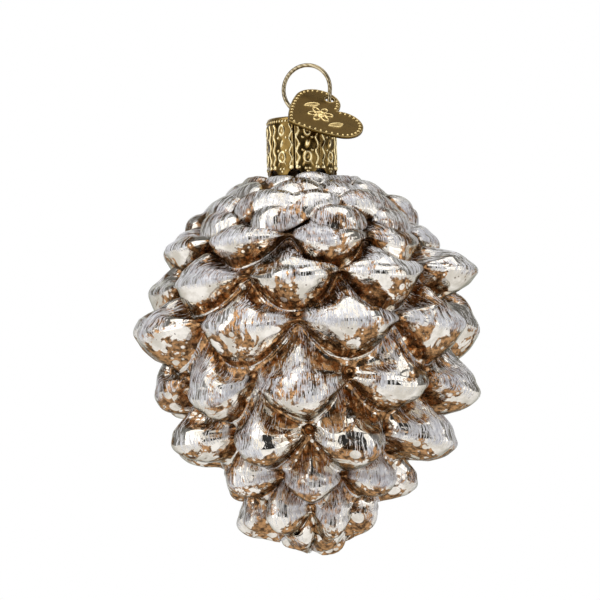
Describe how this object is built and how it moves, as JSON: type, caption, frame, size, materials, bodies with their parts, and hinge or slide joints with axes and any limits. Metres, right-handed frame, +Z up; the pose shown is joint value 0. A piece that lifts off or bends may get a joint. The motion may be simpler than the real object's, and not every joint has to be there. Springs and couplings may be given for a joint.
{
  "type": "blown glass pine cone ornament",
  "caption": "Hollow blown glass pine cone with overlapping scales, a stamped brass cap, a sprung wire hanging loop and a small heart-shaped tag on the wire.",
  "frame": {"origin": "inside top of the wire loop, where a hook bears", "axes": "+Z up along the hanging cone, -Y to the front, +X to the right as seen from the front"},
  "size_m": [0.0748, 0.0758, 0.1063],
  "materials": {
    "glass": "polished",
    "cap_brass": "satin",
    "wire": "polished",
    "tag_brass": "satin"
  },
  "bodies": {
    "ornament": {"glass_cone": "glass", "cap": "cap_brass", "hanger_wire": "wire"},
    "tag": {"heart_tag": "tag_brass"}
  },
  "joints": [
    {"name": "tag_flap", "type": "hinge", "parent": "ornament", "child": "tag", "pos_m": [0.00447, -0.00158, -0.00755], "axis": [-0.9698, -0.2334, 0.0712], "range_deg": [0, 80]}
  ]
}
